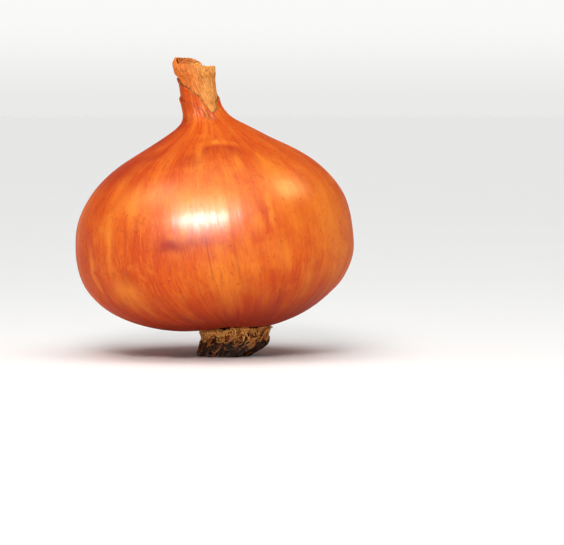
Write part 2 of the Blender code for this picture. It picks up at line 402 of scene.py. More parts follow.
# Colours, linear
ORANGE = (0.60, 0.074, 0.004)
LIGHT_ORANGE = (0.69, 0.130, 0.008)
DEEP_ORANGE = (0.49, 0.041, 0.002)
RED_BROWN = (0.26, 0.021, 0.008)
DARK_RED = (0.34, 0.016, 0.004)
GOLD = (0.78, 0.220, 0.020)
STRAW = (0.80, 0.31, 0.055)
STRAW_DARK = (0.36, 0.085, 0.016)
STRAW_PALE = (0.92, 0.44, 0.110)
SHEATH_BROWN = (0.44, 0.09, 0.012)
SHEATH_GOLD = (0.72, 0.25, 0.045)
SHEATH_ORANGE = (0.70, 0.145, 0.012)
SHEATH_SPOTS = (0.22, 0.045, 0.010)
SHEATH_HOLLOW_SHADE = (0.36, 0.085, 0.012)
CRACK_DIRT_AND_SHADE = (0.10, 0.018, 0.004)
ROOT_BLACK = (0.010, 0.004, 0.002)
ROOT_BROWN = (0.060, 0.024, 0.010)
ROOT_TAN = (0.44, 0.130, 0.032)
ROOT_GOLD = (1.0, 0.54, 0.15)
SOFT_WHITE = (1.0, 0.97, 0.93)
CREAM = (1.0, 0.80, 0.48)
WARM = (1.0, 0.74, 0.32)

# Marks on the skin: degrees from the front, share of height, width in degrees, height as a share, strength
RED_MARKS = (
    (-62, 1.03, 76, 0.12, 0.7),  # the neck's foot; this and the next are painted shade where the shoulder meets the neck
    (-72, 0.955, 70, 0.14, 0.65),
    (22, 0.045, 60, 0.10, 0.5),  # by the roots
    (-16.5, 0.452, 12, 0.10, 0.9),  # the dark spot and the red around it
    (-6, 0.462, 28, 0.09, 0.42),
    (-15, 0.46, 34, 0.16, 0.40),
    (-8, 0.84, 20, 0.10, 0.4),  # the shoulder
    (-44, 0.885, 38, 0.10, 0.45),
    (-64, 0.84, 66, 0.24, 0.65),
    (-88, 0.80, 44, 0.34, 0.7),
    (-38, 0.33, 12, 0.12, 0.4),
    (120, 0.60, 40, 0.30, 0.4),  # the back
    (-140, 0.45, 30, 0.20, 0.4),
    (170, 0.80, 50, 0.20, 0.4),
)
GOLD_MARKS = (
    (28, 0.36, 22, 0.26, 0.45),  # the +X half of the front
    # painted glow beside the main highlight, on golden skin
    (20, 0.53, 10, 0.24, 0.5),
    (27, 0.56, 4, 0.32, 0.7),
    (21, 0.80, 6, 0.20, 0.7),
    (36, 0.70, 34, 0.34, 0.6),
    (37, 0.79, 15, 0.17, 0.55),
    (60, 0.50, 60, 0.60, 0.5),
    (34, 0.56, 24, 0.32, 0.4),
    (31, 0.34, 6, 0.24, 0.4),
    (-41, 0.29, 18, 0.17, 0.5),  # the -X half of the front
    (-46, 0.50, 5, 0.42, 0.7),
    (-58, 0.38, 6, 0.36, 0.6),
    # golden skin, partly painted glow of the soft reflection on the -X shoulder
    (-34, 0.66, 9, 0.36, 0.6),
    (-42, 0.24, 34, 0.20, 0.5),
    # golden skin, partly painted glow of the soft reflection on the -X shoulder
    (-36, 0.68, 34, 0.22, 0.5),
    (2, 0.66, 64, 0.24, 0.6),  # across the middle: golden skin, with the painted glow of a soft reflection
    (-100, 0.55, 30, 0.5, 0.4),  # the back
    (150, 0.55, 40, 0.6, 0.4),
    (-160, 0.62, 25, 0.5, 0.4),
)
DARK_VEINS = (
    (-1.5, 0.44, 0.9, 0.62, 0.6),
    (9, 0.36, 0.8, 0.40, 0.4),
    (-25, 0.25, 0.9, 0.30, 0.4),
    (43, 0.40, 0.9, 0.5, 0.35),
    (-9, 0.20, 0.8, 0.24, 0.45),
    (95, 0.45, 1.0, 0.5, 0.4),
    (-120, 0.40, 1.0, 0.5, 0.45),
    (175, 0.50, 1.0, 0.4, 0.45),
)
PALE_FLECK = (-18.5, 0.068, 3.2, 0.035)  # the same, without a strength


def skin_pattern(g, grain, streaks, fine):
    """The skin's ground colour: streaks and hairs along the meridians, under broad and small patches."""
    broad = g.noise(g.scaled(grain, (3.2, 3.2, 2.4)), detail=3)
    blotches = g.noise(g.scaled(grain, (9.0, 9.0, 4.5)), detail=4)
    hairs = g.noise(g.scaled(grain, (170.0, 170.0, 22.0)), detail=2)
    clouds = g.noise(g.place(), scale=170.0, detail=5, roughness=0.6)
    veins = g.noise(g.scaled(grain, (24.0, 24.0, 1.2)), detail=2)
    vein_line = g.math("ABSOLUTE", g.math("SUBTRACT", veins, 0.5))
    colour = g.ramp(streaks, ((0.15, DEEP_ORANGE), (0.47, ORANGE), (0.82, LIGHT_ORANGE)))
    for tint, value, start, end, share in (
        (GOLD, broad, 0.47, 0.68, 0.55),
        (DEEP_ORANGE, broad, 0.47, 0.30, 0.5),
        (GOLD, blotches, 0.52, 0.72, 0.32),
        (DEEP_ORANGE, blotches, 0.46, 0.28, 0.35),
        (GOLD, fine, 0.52, 0.68, 0.42),
        (DARK_RED, fine, 0.46, 0.30, 0.30),
        (GOLD, clouds, 0.52, 0.68, 0.30),
        (DEEP_ORANGE, clouds, 0.47, 0.32, 0.30),
        (DARK_RED, hairs, 0.44, 0.27, 0.42),
        (DARK_RED, vein_line, 0.012, 0.0, 0.35),
    ):
        colour = g.tint(colour, tint, value, start, end, share)
    return colour


def skin_marks(g, grain, colour):
    """The single marks: gold and red patches with uneven outlines, and thin dark veins."""
    warped = g.warped(grain, 0.08)
    for marks, tint, where in ((GOLD_MARKS, GOLD, warped), (RED_MARKS, DARK_RED, warped),
                               (DARK_VEINS, RED_BROWN, grain)):
        for degrees, high, wide, tall, share in marks:
            spot = g.patch(where, degrees, high, wide, tall, 0.1)
            colour = g.mix(g.math("MULTIPLY", spot, share), colour, tint)
    colour = g.mix(g.patch(grain, *PALE_FLECK, 0.2), colour, STRAW)
    # Painted highlight along the raised arched line on the shoulder, and painted shade under it.
    colour = g.mix(g.math("MULTIPLY", g.attribute("arch", "Fac"), 0.6), colour, GOLD)
    return g.mix(g.math("MULTIPLY", g.attribute("shade", "Fac"), 0.55), colour, DARK_RED)


def skin_gloss(g, fine, up):
    """How glossy the skin is: most where it faces the eye, and hardly at all on the neck."""
    facing = g.nodes.new("ShaderNodeLayerWeight")
    facing.inputs["Blend"].default_value = 0.5
    gloss = g.ranged(facing.outputs["Facing"], 0.30, 0.85, 0.24, 0.015)
    gloss = g.math("MULTIPLY", gloss, g.ranged(fine, 0.30, 0.62, 1.15, 0.7))
    return g.math("MULTIPLY", gloss, g.ranged(up, 0.93, 1.06, 1.0, 0.12))


def skin_material():
    """The papery skin of the bulb and the neck, darker and redder towards the roots as painted shade."""
    g = Graph("papery_skin", 0.45, coat=0.3, coat_roughness=0.32, specular=0.03)
    grain = g.attribute("grain")
    split = g.nodes.new("ShaderNodeSeparateXYZ")
    g.put(split, 0, grain)
    up = split.outputs[2]
    streaks = g.noise(g.scaled(grain, (15.0, 15.0, 3.0)), detail=5, distortion=0.3)
    fine = g.noise(g.scaled(grain, (75.0, 75.0, 13.0)), detail=4, roughness=0.6, distortion=0.25)
    speckle = g.noise(g.place(), scale=900.0, detail=3)
    colour = skin_marks(g, grain, skin_pattern(g, grain, streaks, fine))
    # Painted shade: the skin darkens to dark red and red-brown towards the roots.
    low = g.math("ADD", up, g.math("MULTIPLY", g.math("SUBTRACT", streaks, 0.5), 0.20))
    colour = g.tint(colour, DARK_RED, low, 0.30, 0.08, 0.60)
    colour = g.tint(colour, RED_BROWN, low, 0.15, 0.03, 0.85)
    colour = g.tint(colour, STRAW_DARK, g.attribute("torn", "Fac"), 0.7, 0.0, 0.55)
    colour = g.tint(colour, DARK_RED, speckle, 0.58, 0.72, 0.42)
    g.put(g.shader, "Coat Weight", skin_gloss(g, fine, up))
    rough = g.ranged(g.math("ADD", fine, g.math("MULTIPLY", speckle, 0.5)), 0.55, 1.0, 0.36, 0.56)
    normal = g.bump(fine, 0.20 * MM, 0.5)
    crinkles = g.noise(g.place(), scale=330.0, detail=4, roughness=0.65)
    return g.finish(colour, rough, g.bump(crinkles, 0.25 * MM, 0.6, normal))


def straw_material():
    """The neck's dry inner sheath: fibres in straw and gold, more orange on its -X side, with painted shade
    in its hollow and dirt and painted shade just above the skins' torn edges.
    """
    g = Graph("dry_sheath", 0.6, specular=0.05)
    fibre = g.attribute("fibre")
    fibres = g.noise(g.scaled(fibre, (17.0, 17.0, 7.0)), detail=4, roughness=0.6, distortion=0.8)
    fine = g.noise(g.scaled(fibre, (40.0, 40.0, 11.0)), detail=4, roughness=0.65, distortion=0.9)
    flecks = g.noise(g.scaled(fibre, (15.0, 15.0, 11.0)), detail=3, roughness=0.6)
    colour = g.ramp(fibres, ((0.36, SHEATH_BROWN), (0.47, SHEATH_GOLD), (0.60, STRAW_PALE)))
    left = g.patch(g.warped(g.attribute("grain"), 0.2), -90, 1.22, 205, 0.8, 0.6)
    colour = g.mix(g.math("MULTIPLY", left, 0.85), colour, SHEATH_ORANGE)
    pale = g.math("MULTIPLY", g.ranged(fine, 0.50, 0.64, 0.0, 0.9), g.ranged(left, 0.0, 1.0, 1.0, 0.3))
    colour = g.mix(pale, colour, STRAW_PALE)
    colour = g.tint(colour, STRAW_DARK, fine, 0.46, 0.34, 0.7)
    colour = g.tint(colour, SHEATH_SPOTS, flecks, 0.60, 0.68, 0.8)
    # Painted shade: darker the deeper it lies in the neck's hollow.
    colour = g.mix(g.math("MULTIPLY", g.attribute("inside", "Fac"), 0.7), colour, SHEATH_HOLLOW_SHADE)
    # Dirt and painted shade just above the skins' torn edges.
    crack = g.math("MULTIPLY", g.attribute("crack", "Fac"), g.ranged(flecks, 0.35, 0.55, 0.45, 1.0))
    colour = g.mix(crack, colour, CRACK_DIRT_AND_SHADE)
    rough = g.ranged(fine, 0.3, 0.7, 0.5, 0.8)
    normal = g.bump(fibres, 0.30 * MM, 0.6)
    return g.finish(colour, rough, g.bump(fine, 0.25 * MM, 0.8, normal))


def root_material():
    """Dried roots, from near black to straw by each strand's tone."""
    g = Graph("dried_roots", 0.7, specular=0.10)
    blotch = g.noise(g.place(), scale=1400.0, detail=3)
    uneven = g.math("MULTIPLY", g.math("SUBTRACT", blotch, 0.5), 0.35)
    shade = g.math("ADD", g.attribute("tone", "Fac"), uneven)
    colour = g.ramp(shade, ((0.0, ROOT_BLACK), (0.30, ROOT_BROWN), (0.52, ROOT_TAN), (0.84, ROOT_GOLD)))
    rough = g.ranged(blotch, 0.3, 0.7, 0.5, 0.85)
    normal = g.bump(g.noise(g.place(), scale=2600.0, detail=2), 0.08 * MM, 0.5)
    return g.finish(colour, rough, normal)


# ---------------------------------------------------------------- the bulb's skins
def tear_height(angle, tear, ragged, seed):
    """How high a torn edge is, for each angle."""
    height = NECK_FOOT + by_angle(angle, tear) * MM
    height = height + ragged * around(angle, 9.0, 0.0, 1.0, 3, seed)
    return height + 0.5 * ragged * np.abs(around(angle, 34.0, 0.0, 1.0, 2, seed + 2.0))


def crack_above(angle, height, tear):
    """1 just above a torn edge, for dirt and painted shade in the gap there, fading to 0 within half a
    millimetre.
    """
    above = (height - tear_height(angle, *tear)) / MM
    return np.exp(-((np.maximum(above, 0.0) / 0.45) ** 2)) * smooth((above + 0.6) / 0.4)


def arch_at(angle, up):
    """The raised line that arches over the front shoulder (1 on it), painted pale as a highlight, and the
    painted red shade under it.
    """
    front = (np.degrees(angle) + 270.0) % 360.0 - 180.0
    high = np.interp(front, [p[0] for p in ARCH], [p[1] for p in ARCH])
    high = high + 0.010 * around(angle, 6.0, 0.0, 1.0, 3, 91.0)
    line = np.exp(-(((up - high) / 0.010) ** 2))
    line = line * smooth((front + 9.0) / 12.0) * smooth((42.0 - front) / 4.0)
    line = line * (0.62 + 1.3 * around(angle, 7.0, up, 2.0, 2, 95.0))
    under = high - 0.006 - up
    shade = smooth(under / 0.022) * np.exp(-((under / 0.050) ** 2))
    shade = shade * smooth((front + 9.0) / 9.0) * smooth((33.0 - front) / 12.0)
    return np.maximum(line, 0.0), shade * (0.95 + 1.6 * around(angle, 9.0, up, 9.0, 3, 93.0))


def skin_relief(angle, height):
    """How far the skin stands out: broad unevenness, ribs along the meridians, folds at the neck."""
    up = (height - PLATE_HEIGHT) / BULB_HEIGHT
    neck = smooth((up - 0.80) / 0.25)
    broad = 0.22 * MM * around(angle, 2.2, up, 2.0, 2, 5.0) * (1.0 - 0.6 * neck)
    ribs = 0.055 * MM * around(angle, 17.0, up, 0.7, 2, 1.0)
    folds = 0.16 * MM * neck * around(angle, 6.5, up, 0.9, 2, 9.0)
    return broad + ribs + folds + 0.14 * MM * arch_at(angle, up)[0]


def outer_lift(angle):
    """How far the outer skin's torn edge curls away from the neck."""
    lift = np.maximum(0.30 + around(angle, 5.0, 0.0, 1.0, 2, 4.0), 0.05)
    lift = lift * by_angle(angle, OUTER_CURLS)
    return 0.45 * MM * lift


def outer_rim(angle, top, out):
    """Rings that give the torn edge its thickness, from behind the skin up to the edge.

    Gives each ring's points and heights."""
    rings = []
    for inward, below in ((1.0, 3.0 * MM), (1.0, 0.04 * MM), (0.5, -0.03 * MM)):
        off = out - inward * SKIN_THICK - 0.1 * MM * (below > MM)
        r, h, nr, nh = outline.at(top - below)
        rings.append((grown(r + nr * off, angle, h + nh * off), h))
    return rings


def make_outer_skin(material):
    """The outermost skin, from its torn edge on the neck down to the middle of the root plate."""
    columns, neck_rings, bulb_rings, ringed = 384, 84, 150, 20 * MM
    angle = np.arange(columns) / columns * math.tau
    top = outline.length_at(tear_height(angle, *OUTER_TEAR))
    mean = top.mean()
    down = np.append(np.linspace(0.0, ringed, neck_rings, endpoint=False),
                     np.linspace(ringed, mean - 1.5 * MM, bulb_rings))
    s = top[None, :] * (1.0 - down[:, None] / mean)
    r, h, nr, nh = outline.at(s)
    turn = np.broadcast_to(angle, s.shape)
    from_edge = top[None, :] - s
    out = skin_relief(turn, h)
    out = out + outer_lift(angle)[None, :] * smooth(1.0 - from_edge / (2.2 * MM))
    rim = outer_rim(angle, top, out[0])
    rings = np.vstack([np.stack([ring for ring, _ in rim]), grown(r + nr * out, turn, h + nh * out)])
    heights = np.vstack([height for _, height in rim] + [h])
    # The arched line's painted highlight, and the painted shade under it.
    line, shade = arch_at(np.broadcast_to(angle, heights.shape), (heights - PLATE_HEIGHT) / BULB_HEIGHT)
    pole = grown(np.zeros(1), np.zeros(1), np.full(1, PLATE_HEIGHT))
    count = len(heights)
    return make_piece(
        "outer_skin",
        np.vstack([rings.reshape(-1, 3), pole]),
        grid_faces(count, columns) + fan_faces((count - 1) * columns, columns, count * columns),
        material,
        "skin",
        grain=np.vstack([grain_of(angle, heights).reshape(-1, 3), [[0.0, 0.0, 0.0]]]),
        torn=np.append(np.vstack([np.zeros((len(rim), columns)), from_edge / MM]), 50.0),
        arch=np.append(line, 0.0),
        shade=np.append(shade, 0.0),
    )


def make_second_skin(material):
    """The skin under the outermost one, which shows as a torn sleeve on the neck."""
    columns, rings, turned_in = 320, 70, 4
    angle = np.arange(columns) / columns * math.tau
    top = outline.length_at(tear_height(angle, *SECOND_TEAR))
    bottom = outline.length_at(NECK_FOOT - 3 * MM)
    share = np.linspace(0.0, 1.0, rings)[:, None]
    s = top[None, :] * (1.0 - share) + bottom * share
    r, h, nr, nh = outline.at(s)
    turn = np.broadcast_to(angle, s.shape)
    up = (h - PLATE_HEIGHT) / BULB_HEIGHT
    out = skin_relief(turn, h) - 1.2 * SKIN_THICK + 0.07 * MM * around(turn, 12.0, up, 2.0, 2, 31.0)
    from_edge = top[None, :] - s
    lift = np.maximum(0.35 + around(angle, 4.0, 0.0, 1.0, 2, 14.0), 0.05)[None, :]
    out = out + 0.50 * MM * lift * smooth(1.0 - from_edge / (1.8 * MM))
    behind = slice(turned_in - 1, None, -1)  # the first rings again, from below up, behind the edge
    back = out[behind] - 0.8 * SKIN_THICK
    inner = grown(r[behind] + nr[behind] * back, turn[:turned_in], h[behind] + nh[behind] * back)
    heights = np.vstack([h[behind], h])
    return make_piece(
        "second_skin",
        np.vstack([inner, grown(r + nr * out, turn, h + nh * out)]),
        grid_faces(rings + turned_in, columns),
        material,
        "skin",
        grain=grain_of(angle, heights).reshape(-1, 3),
        torn=np.vstack([np.zeros((turned_in, columns)), from_edge / MM]).ravel(),
        arch=np.zeros(heights.size),
        # dirt and painted shade just above the outer skin's torn edge
        shade=0.6 * crack_above(angle, heights, OUTER_TEAR).ravel(),
    )


# ---------------------------------------------------------------- the neck
def neck_cut(side):
    """How much lower than its top the neck's end is, this far to +X of the neck's middle."""
    half = NECK_WIDTH / 2
    slant = SLANT_DROP * smooth((side + 0.3 * half) / (0.85 * half))
    broken = STEP_DROP * smooth((side - 0.30 * half) / (0.10 * half))
    return slant + broken + side * math.tan(LEAN)


def sheath_point(angle, height, inward, fibre_depth):
    """A point of the inner sheath, by its height on the uncut neck."""
    up = (height - NECK_FOOT) / NECK_HEIGHT
    r, h, nr, nh = outline.at(outline.length_at(height))
    turned_angle = angle + NECK_FIBRE_TURN * up
    fibres = 0.10 * MM * around(turned_angle, 13.0, up, 1.6, 2, 41.0)
    fibres = fibres + 0.06 * MM * around(turned_angle, 34.0, up, 3.0, 2, 43.0)
    dents = 0.25 * MM * around(angle, 1.8, up, 3.0, 2, 47.0)
    out = (fibres * fibre_depth + dents) - 2.0 * SKIN_THICK * (1.0 - 0.7 * smooth((up - 0.62) / 0.2))
    covered = smooth((tear_height(angle, *SECOND_TEAR) - height) / (0.8 * MM))
    out = out - 0.4 * MM * covered - 0.5 * MM * smooth((0.10 - up) / 0.15)  # tucked in under the skins
    radius = np.maximum(r + out - inward, 0.05 * MM)
    side = radius * np.cos(angle)
    lip = smooth((up - 0.73) / 0.09) * smooth((-side / NECK_WIDTH - 0.05) / 0.35)
    near = smooth((-np.sin(angle) + 0.1) / 0.8) * smooth(0.6 - side / NECK_WIDTH * 1.6)
    drop = (neck_cut(side) + 1.9 * MM * near) * smooth((up - 0.66) / 0.30)
    ragged = 0.28 * MM * around(angle, 11.0, 0.0, 1.0, 2, 53.0) * smooth((up - 0.93) / 0.06)
    radius = radius + 0.75 * MM * lip - 0.9 * MM * lip * smooth((up - 0.90) / 0.10) ** 2
    return grown(radius, angle, height - drop + ragged)


def sheath_rings(angle):
    """The inner sheath's rings, from the bottom of its hollow over the rim and down its outside.

    Gives the points, and each ring's height and how far inside the hollow it is, from 0 to 1."""
    low, wall = NECK_FOOT - 1.5 * MM, 0.75 * MM
    rows = [(NECK_TOP - HOLLOW_DEPTH, 3.6 * MM, 0.0, 1.0)]  # height, inward, fibre depth, inside
    for share in (1.0, 0.75, 0.5, 0.25, 0.1):
        rows.append((NECK_TOP - share * HOLLOW_DEPTH, wall * (1.0 + 0.3 * share), 0.5, 0.35 + 0.65 * share))
    rows.append((NECK_TOP - 0.10 * MM, 0.80 * wall, 0.7, 0.2))
    rows.append((NECK_TOP, 0.5 * wall, 0.8, 0.0))
    rows.append((NECK_TOP - 0.08 * MM, 0.2 * wall, 1.0, 0.0))
    rows += [(height, 0.0, 1.0, 0.0) for height in np.linspace(NECK_TOP - 0.25 * MM, low, 110)]
    points = [sheath_point(angle, np.full(len(angle), height), inward, depth)
              for height, inward, depth, _ in rows]
    return np.array(points), np.array([r[0] for r in rows]), np.array([r[3] for r in rows])


def make_inner_sheath(material):
    """The neck's dry inner sheath, with a ragged, folded lip around its open end."""
    columns = 288
    angle = np.arange(columns) / columns * math.tau
    points, heights, inside = sheath_rings(angle)
    rings = len(heights)
    height = np.broadcast_to(heights[:, None], (rings, columns))
    up = (height - NECK_FOOT) / NECK_HEIGHT
    turned_angle = angle + NECK_FIBRE_TURN * up
    # Dirt and painted shade just above both skins' torn edges.
    crack = crack_above(angle, height, SECOND_TEAR)
    crack = np.maximum(crack, 0.8 * crack_above(angle, height, OUTER_TEAR))
    centre = sheath_point(np.zeros(1), np.full(1, NECK_TOP - HOLLOW_DEPTH), 20 * MM, 0.0)
    floor = [(j, (j + 1) % columns, rings * columns)[::-1] for j in range(columns)]
    fibre = np.stack([np.cos(turned_angle), np.sin(turned_angle), up], axis=-1)
    middle = [[0.0, 0.0, 1.3]]
    return make_piece(
        "inner_sheath",
        np.vstack([points.reshape(-1, 3), centre]),
        grid_faces(rings, columns) + floor,
        material,
        "skin",
        grain=np.vstack([grain_of(angle, height).reshape(-1, 3), middle]),
        fibre=np.vstack([fibre.reshape(-1, 3), middle]),
        # how deep in the hollow each ring is, for the painted shade there
        inside=np.append(np.repeat(inside, columns), 1.0),
        crack=np.append(crack, 0.0),
    )


def make_neck_wraps(material):
    """The dried leaves rolled up inside the neck's end, as one spiral sheet."""
    turns, columns, rings, depth = 3.2, 420, 10, 3.5 * MM
    share = np.linspace(0.0, 1.0, columns)
    angle = share * turns * math.tau + 2.0
    across = (0.78 - 0.64 * share) * NECK_WIDTH / 2
    across = across * (1.0 + 0.22 * around(angle, 1.3, share, 3.0, 2, 61.0))
    rough = 0.9 * MM * around(angle, 4.0, share, 6.0, 3, 67.0)
    lower = 0.9 * MM + 0.5 * MM * share + rough
    lower = lower + neck_cut(across * np.cos(angle)) * 0.8
    rows = []
    for down in np.linspace(0.0, depth, rings):
        wave = 0.16 * MM * around(angle, 6.0, down / MM, 0.6, 2, 71.0)
        rows.append(grown(across + wave, angle, NECK_TOP - lower - down))
    i, j = np.meshgrid(np.arange(rings - 1), np.arange(columns - 1), indexing="ij")
    below = i * columns + columns + j
    quads = np.stack([below - columns, below, below + 1, below - columns + 1], axis=-1)
    turn, up = np.broadcast_arrays(angle, np.linspace(1.35, 1.28, rings)[:, None])
    coords = np.stack([np.cos(turn), np.sin(turn), up], axis=-1).reshape(-1, 3)
    # The wraps get more painted shade the deeper they lie.
    piece = make_piece("neck_wraps", np.array(rows), quads.reshape(-1, 4).tolist(), material, "skin",
                       grain=coords, fibre=coords, inside=np.repeat(np.linspace(0.25, 1.0, rings), columns))
    wall = piece.modifiers.new("wall", "SOLIDIFY")
    wall.thickness = 0.3 * MM
    wall.offset = 0.0
    return piece


# ---------------------------------------------------------------- the root tuft
def tuft_middle(height):
    """How far to +X the tuft's middle is at a height."""
    return TUFT_SHIFT * smooth(height / TUFT_FULL)


def tuft_radius(height):
    """The tuft's radius at a height, without its bulge."""
    share = np.clip(height / TUFT_FULL, 0.0, 1.0)
    return (REST_WIDTH + (TUFT_WIDTH - REST_WIDTH) * share**0.8) / 2


def on_tuft(angle, height, out):
    """Points this far out from the tuft's side, or in where it is negative."""
    bulge = TUFT_BULGES * smooth(np.cos(angle)) * np.exp(-(((height - 3.2 * MM) / (2.6 * MM)) ** 2))
    reach = tuft_radius(height) + bulge + out
    return np.stack([tuft_middle(height) + reach * np.cos(angle), reach * np.sin(angle), height], axis=-1)


def underside(x, y):
    """Height of the bulb's underside over a point, near the root plate."""
    across = np.hypot(x - (FOOT_SIDE + PLATE_SHIFT - 1.0 * MM), y)
    low = slice(0, outline.belly)
    height = np.interp(across, outline.r[low], outline.h[low])
    sag = BASE_SAGS * smooth(x / (14 * MM)) * smooth(1.0 - (height - PLATE_HEIGHT) / BULB_HEIGHT / 0.12)
    sag = sag + 0.85 * low_side_swell(x)
    return height * math.cos(LEAN) + (x - FOOT_SIDE) * math.tan(LEAN) - sag


def make_tuft_core(material):
    """The mat that fills the tuft behind its loose roots: dark root mass, near black as painted shade deep
    in the tuft.
    """
    columns, rings = 160, 44
    angle = np.arange(columns) / columns * math.tau
    share = np.linspace(0.0, 1.0, rings)
    rows, top = [], PLATE_HEIGHT + 1.2 * MM
    for height in top * (1.0 - share):
        bite = -1.1 * MM + 0.5 * MM * around(angle, 6.0, height / MM, 0.9, 3, 81.0)
        rows.append(on_tuft(angle, np.full(columns, height), bite))
    for inset in (0.8, 0.6, 0.4, 0.2):
        ring = on_tuft(angle, np.zeros(columns), -1.1 * MM) * (inset, inset, 1.0)
        ring[:, 2] = 0.12 * MM + 0.12 * MM * around(angle, 5.0, inset, 9.0, 2, 83.0)
        rows.append(ring)
    points = np.vstack([np.array(rows).reshape(-1, 3), [[0.0, 0.0, 0.1 * MM]]])
    count = len(rows)
    faces = grid_faces(count, columns) + fan_faces((count - 1) * columns, columns, count * columns)
    heights = points[:, 2] / TUFT_FULL
    # Near-black tones, a little lighter higher up: painted shade deep among the roots.
    return make_piece("root_mat", points, faces, material, "roots", tone=0.02 + 0.08 * heights)


class Strands:
    """Gathers many thin tubes into one mesh."""

    SIDES = 6

    def __init__(self):
        self.points, self.faces, self.tone, self.count = [], [], [], 0

    def add(self, path, radii, tone):
        """A closed tube along the path, kept above the resting plane."""
        path = np.asarray(path)
        along = np.gradient(path, axis=0)
        along /= np.linalg.norm(along, axis=1, keepdims=True) + 1e-12
        side = np.cross(along, (0.31, 0.52, 0.80))
        side /= np.linalg.norm(side, axis=1, keepdims=True) + 1e-12
        over = np.cross(along, side)
        turn = np.arange(self.SIDES) / self.SIDES * math.tau
        ring = side[:, None] * np.cos(turn)[None, :, None] + over[:, None] * np.sin(turn)[None, :, None]
        tube = path[:, None] + ring * np.asarray(radii)[:, None, None]
        tube[..., 2] = np.maximum(tube[..., 2], 0.02 * MM)
        rings = len(path)
        first = self.count
        ends = np.vstack([path[0], path[-1]])
        ends[:, 2] = np.maximum(ends[:, 2], 0.02 * MM)
        self.points.append(np.vstack([tube.reshape(-1, 3), ends]))
        quads = np.array(grid_faces(rings, self.SIDES, first))[:, ::-1].tolist()
        cap = first + rings * self.SIDES
        self.faces += quads
        self.faces += [(first + k, first + (k + 1) % self.SIDES, cap)[::-1] for k in range(self.SIDES)]
        last = first + (rings - 1) * self.SIDES
        self.faces += [(last + k, last + (k + 1) % self.SIDES, cap + 1) for k in range(self.SIDES)]
        self.tone.append(np.full(rings * self.SIDES + 2, tone))
        self.count += rings * self.SIDES + 2

    def piece(self, name, material):
        return make_piece(name, np.vstack(self.points), self.faces, material, "roots",
                          tone=np.concatenate(self.tone))


def taper(count, thick, end):
    """A strand's radii along it, from its thickness to this share of it, a little uneven."""
    share = np.linspace(0.0, 1.0, count)
    return thick / 2 * (1.0 - (1.0 - end) * share) * (0.9 + 0.1 * np.sin(share * 9.0))


def pale_side(start, middle, spread):
    """1 for a strand that starts in the middle of the pale side, less away from it: degrees from +X."""
    return math.exp(-(((math.degrees(start) % 360.0 - middle) / spread) ** 2))


def make_curls(material, rng):
    """Roots that curl and loop over the tuft's side, darker towards the bottom."""
    strands = Strands()
    for _ in range(CURLS):
        count = 26
        t = np.linspace(0.0, 1.0, count)
        start, height = rng.uniform(0.0, math.tau), rng.uniform(1.2, 8.8) * MM
        loop, turns = rng.uniform(0.5, 1.35) * MM, rng.uniform(0.7, 1.7) * rng.choice((-1, 1))
        phase, fall = rng.uniform(0.0, math.tau), rng.uniform(0.6, 3.0) * MM
        radius = tuft_radius(height)
        drift = rng.uniform(-2.0, 2.0) * MM * t
        angle = start + (drift + loop * np.cos(turns * math.tau * t + phase)) / radius
        high = height - fall * t + loop * np.sin(turns * math.tau * t + phase)
        out = rng.uniform(-0.5, 0.15) * MM + 0.45 * MM * np.sin(t * math.pi * rng.uniform(1.0, 2.5))
        path = on_tuft(angle, np.maximum(high, 0.1 * MM), out)
        roof = underside(path[:, 0], path[:, 1]) - 0.15 * MM
        path[:, 2] = np.minimum(path[:, 2], roof)
        thick = rng.uniform(0.34, 0.62) * MM
        share = height / TUFT_FULL
        tone = 0.10 + 0.44 * share**1.8 + 0.30 * pale_side(start, 215.0, 50.0) * share
        strands.add(path, taper(count, thick, 0.6), tone + rng.uniform(-0.26, 0.32))
    return strands.piece("root_curls", material)


def add_plate_end(strands, rng):
    """A short root end that lies under the skin at the edge of the root plate."""
    count = 9
    t = np.linspace(0.0, 1.0, count)
    start = rng.uniform(0.0, math.tau)
    reach, lean_over = rng.uniform(0.3, 1.5) * MM, rng.uniform(-0.16, 0.16)
    high = rng.uniform(7.0, 8.6) * MM
    out = -1.0 * MM + (reach + 1.0 * MM) * t
    path = on_tuft(start + lean_over * t**1.5, np.full(count, high), out)
    sink = rng.uniform(0.1, 1.5) * MM * (1.0 - t) + rng.uniform(0.0, 0.9) * MM * t**2
    path[:, 2] = underside(path[:, 0], path[:, 1]) - 0.12 * MM - sink
    radii = taper(count, rng.uniform(0.32, 0.55) * MM, 0.45)
    strands.add(path, radii, 0.74 + 0.22 * pale_side(start, 235.0, 70.0) + rng.uniform(-0.35, 0.2))


def add_border_end(strands, rng):
    """A straw-coloured end that stands on the tuft's side and leans out under the skin."""
    count = 8
    t = np.linspace(0.0, 1.0, count)
    start = rng.uniform(0.0, math.tau)
    angle = start + rng.uniform(-0.22, 0.22) * t
    low, out = rng.uniform(4.2, 6.6) * MM, rng.uniform(-0.1, 0.25) * MM
    path = on_tuft(angle, np.full(count, low), out + rng.uniform(0.2, 1.3) * MM * t**1.3)
    roof = underside(path[:, 0], path[:, 1]) - 0.2 * MM
    path[:, 2] = low + (roof - low) * t**0.8 * rng.uniform(0.75, 1.0)
    radii = taper(count, rng.uniform(0.40, 0.62) * MM, 0.5)
    strands.add(path, radii, 0.60 + 0.35 * pale_side(start, 240.0, 60.0) + rng.uniform(-0.3, 0.25))


def make_fringe(material, rng):
    """Short straw-coloured root ends around the edge of the root plate."""
    strands = Strands()
    for _ in range(PLATE_ENDS):
        add_plate_end(strands, rng)
    for _ in range(BORDER_ENDS):
        add_border_end(strands, rng)
    return strands.piece("root_fringe", material)


